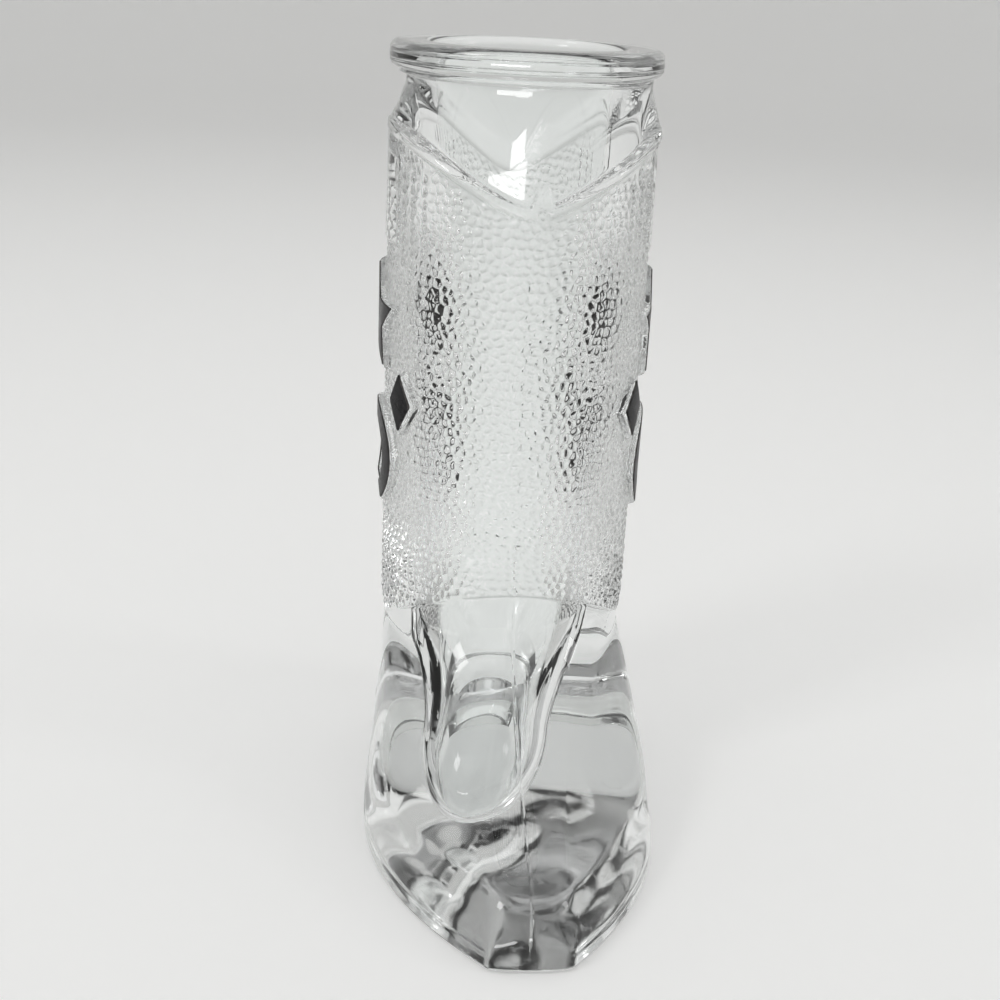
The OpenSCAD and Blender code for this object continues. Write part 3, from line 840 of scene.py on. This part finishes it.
def make_boot(material):
    """The glass as one closed skin of four-sided faces between its rows of points."""
    rows = boot_rows()
    count = len(rows)
    points = rows.reshape(-1, 3)
    index = np.arange(len(points)).reshape(count, COLUMNS)
    # Points that meet on the underside's middle line and at the hollow's tip become one
    for end in (0, count - 1):
        _, first, same = np.unique(np.round(rows[end], 5), axis=0, return_index=True, return_inverse=True)
        index[end] = index[end][first][same.ravel()]
    a, b = index[:-1], np.roll(index[:-1], -1, 1)
    c, d = np.roll(index[1:], -1, 1), index[1:]
    quads = np.stack([a, b, c, d], -1).reshape(-1, 4)
    line, column = np.divmod(np.arange(len(quads)), COLUMNS)
    corners = ((0, 0), (1, 0), (1, 1), (0, 1))
    maps = np.stack([np.column_stack([column + u, line + v]) for u, v in corners], 1) / (COLUMNS, count - 1)
    closed = (quads[:, 0] == quads[:, 1]) | (quads[:, 2] == quads[:, 3])
    polygons, places = list(quads[~closed]), list(maps[~closed])
    for quad, place in zip(quads[closed], maps[closed]):
        keep = np.sort(np.unique(quad, return_index=True)[1])
        if len(keep) > 2:
            polygons.append(quad[keep])
            places.append(place[keep])
    used = np.zeros(len(points), bool)
    used[np.concatenate(polygons)] = True
    renumber = np.cumsum(used) - 1
    polygons = [renumber[p] for p in polygons]
    return mesh_object("glass_boot_clear", points[used], polygons, places, material)


def soft_outline(poly):
    """A closed outline with close points and slightly rounded corners, anticlockwise."""
    closed = np.concatenate([poly, poly[:1]])
    run = run_along(closed)
    line = sample(closed, run, np.linspace(0, run[-1], int(run[-1] / ENAMEL_PITCH), endpoint=False))
    for _ in range(3):
        line = 0.25 * np.roll(line, 1, 0) + 0.5 * line + 0.25 * np.roll(line, -1, 0)
    area = np.sum(line[:, 0] * np.roll(line[:, 1], -1) - np.roll(line[:, 0], -1) * line[:, 1])
    return line[::-1] if area < 0 else line


def make_enamel(name, poly, sign, material):
    """One enamel face: a thin skin with a soft edge that follows the raised ornament."""
    line = soft_outline(poly)
    n = len(line)
    way = np.roll(line, -1, 0) - np.roll(line, 1, 0)
    way /= np.hypot(*way.T)[:, None]
    inwards = np.stack([-way[:, 1], way[:, 0]], -1)
    bm = bmesh.new()
    rim = bm.verts.layers.float.new("rim")
    loops = []
    for inset, height, worn in ENAMEL_EDGE:
        loop = [bm.verts.new((y, z, height)) for y, z in line + inset * inwards]
        for v in loop:
            v[rim] = worn
        loops.append(loop)
    for low, high in zip(loops, loops[1:]):
        for i in range(n):
            bm.faces.new((low[i], low[(i + 1) % n], high[(i + 1) % n], high[i]))
    bm.faces.new(loops[-1])
    bm.faces.new(loops[0][::-1])
    # Narrow strips let the flat face bend round the shaft
    for cut in np.arange(line[:, 0].min() + ENAMEL_STRIP, line[:, 0].max(), ENAMEL_STRIP):
        whole = bm.verts[:] + bm.edges[:] + bm.faces[:]
        bmesh.ops.bisect_plane(bm, geom=whole, plane_co=(cut, 0, 0), plane_no=(1, 0, 0), dist=1e-5)
    bmesh.ops.triangulate(bm, faces=[f for f in bm.faces if len(f.verts) > 4])
    for v in bm.verts:
        y, z, h = v.co
        r = float(shaft_r(z)) + PAD_PROUD + h
        v.co = (sign * math.sqrt(r * r - y * y) * MM, (y + AXIS_Y) * MM, z * MM)
    bmesh.ops.recalc_face_normals(bm, faces=bm.faces)
    for f in bm.faces:
        f.smooth = True
    mesh = bpy.data.meshes.new(name)
    bm.to_mesh(mesh)
    bm.free()
    mesh.materials.append(material)
    return add_object(name, mesh)


# The part, whose pieces are also in a collection of their own for the lamps
part = bpy.data.collections.new("part")
boot = make_boot(glass_material())
part.objects.link(boot)
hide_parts("glass_boot")
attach(boot, "root")
enamel = enamel_material()
for word, sign in (("left", -1), ("right", 1)):
    for motif, shape in MOTIFS.items():
        piece = make_enamel(f"{word}_{motif}_enamel", shape(-ENAMEL_INSET), sign, enamel)
        part.objects.link(piece)
        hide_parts(f"{word}_{motif}")
        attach(piece, "root")


# Stage, lamps and camera, in metres
def floor_material():
    """Pale floor with a painted pool of light about the part, fading outwards, for the camera and the glass
    alone.
    """
    m, tree, shader = new_material("pale_floor")
    place = node(tree, "ShaderNodeTexCoord", {}).outputs["Object"]
    away = node(tree, "ShaderNodeVectorMath", {0: place}, operation="LENGTH").outputs["Value"]
    # Painted pool of light: the floor glows brightest about the part, which lifts the shade under the glass
    painted_light_pool = map_range(tree, away, (0.03, 0.9), (0.28, 0.1), interpolation_type="SMOOTHSTEP")
    ray = node(tree, "ShaderNodeLightPath", {}).outputs
    direct = math_node(tree, "MAXIMUM", ray["Is Camera Ray"], ray["Is Glossy Ray"])
    seen = math_node(tree, "MAXIMUM", direct, ray["Is Transmission Ray"])
    feed(tree, shader, {
        "Base Color": (0.80, 0.80, 0.79, 1),
        "Roughness": 0.55,
        "Emission Color": (1, 1, 1, 1),
        "Emission Strength": math_node(tree, "MULTIPLY", painted_light_pool, seen)})
    return m


def make_stage():
    """Round floor, just under the part, that curves up into a wall all about it."""
    inner, flat, curve_r, wall_top, drop = 0.3, 0.95, 0.4, 1.6, 0.0002
    turns = 96
    around = np.linspace(0, 2 * np.pi, turns, endpoint=False)
    rise = arc(flat, curve_r, curve_r, -90, 0, 20)
    curve = np.concatenate([[(inner, 0.0)], rise, [(flat + curve_r, wall_top)]])
    points = [(0, 0, -drop)]
    for r, z in curve:
        points += [(r * math.cos(t), r * math.sin(t), z - drop) for t in around]
    faces = [(0, 1 + i, 1 + (i + 1) % turns) for i in range(turns)]
    for k in range(len(curve) - 1):
        start = 1 + k * turns
        for i in range(turns):
            j = (i + 1) % turns
            faces.append((start + i, start + turns + i, start + turns + j, start + j))
    mesh = bpy.data.meshes.new("floor")
    mesh.from_pydata(points, [], faces)
    mesh.polygons.foreach_set("use_smooth", [True] * len(faces))
    mesh.materials.append(floor_material())
    add_object("floor", mesh)


def area_light(name, place, size, power, only=None, target=(0, 0, 0.05)):
    """A rectangular lamp that faces the part, and lights all things or only one collection."""
    data = bpy.data.lights.new(name, "AREA")
    data.shape = "RECTANGLE"
    data.size, data.size_y = size
    data.energy = power
    obj = add_object(name, data)
    obj.location = place
    obj.rotation_euler = (Vector(target) - Vector(place)).to_track_quat("-Z", "Y").to_euler()
    obj.light_linking.receiver_collection = only


def make_world():
    """Even light from all about."""
    world = bpy.data.worlds.new("studio")
    scene.world = world
    world.use_nodes = True
    feed(world.node_tree, world.node_tree.nodes["Background"], {"Color": (1, 1, 1, 1), "Strength": 0.75})


def make_camera():
    """Camera at the photograph's angle: its place about the shaft's axis, and its turn in degrees."""
    aside, distance, height = 0.0015, 0.21436, 0.11381
    pitch, pan, roll, yaw = (math.radians(v) for v in (19.30, -0.605, 2.794, 6.2))
    focal_px, image_px, sensor_mm, nearest = 1580.6, 1000, 36, 0.001
    ahead = Vector((math.sin(pan) * math.cos(pitch), math.cos(pan) * math.cos(pitch), -math.sin(pitch)))
    level = Vector((math.cos(pan), -math.sin(pan), 0))
    upright = level.cross(ahead)
    right = math.cos(roll) * level + math.sin(roll) * upright
    up = -math.sin(roll) * level + math.cos(roll) * upright
    turn = Matrix.Rotation(-yaw, 3, "Z")
    matrix = Matrix((turn @ right, turn @ up, -(turn @ ahead))).transposed().to_4x4()
    matrix.translation = turn @ Vector((aside, -distance, height)) + Vector((0, AXIS_Y * MM, 0))
    data = bpy.data.cameras.new("camera")
    data.sensor_width = sensor_mm
    data.lens = focal_px / image_px * sensor_mm
    data.clip_start = nearest
    obj = add_object("camera", data)
    obj.matrix_world = matrix
    scene.camera = obj


make_stage()
area_light("key", place=(-0.55, -0.35, 0.65), size=(0.18, 0.26), power=0.9)
area_light("fill", place=(0.7, -0.2, 0.45), size=(0.14, 0.24), power=0.4)
# Windows, which light the part alone, so that no bright patch lies on the floor before them
area_light("window_low", place=(-0.28, -0.8, 0.069), size=(0.5, 0.089), power=1.2, only=part)
area_light("window_high", place=(-0.165, -0.8, 0.122), size=(0.165, 0.0165), power=0.073, only=part)
make_world()
make_camera()
scene.view_settings.view_transform = "Standard"
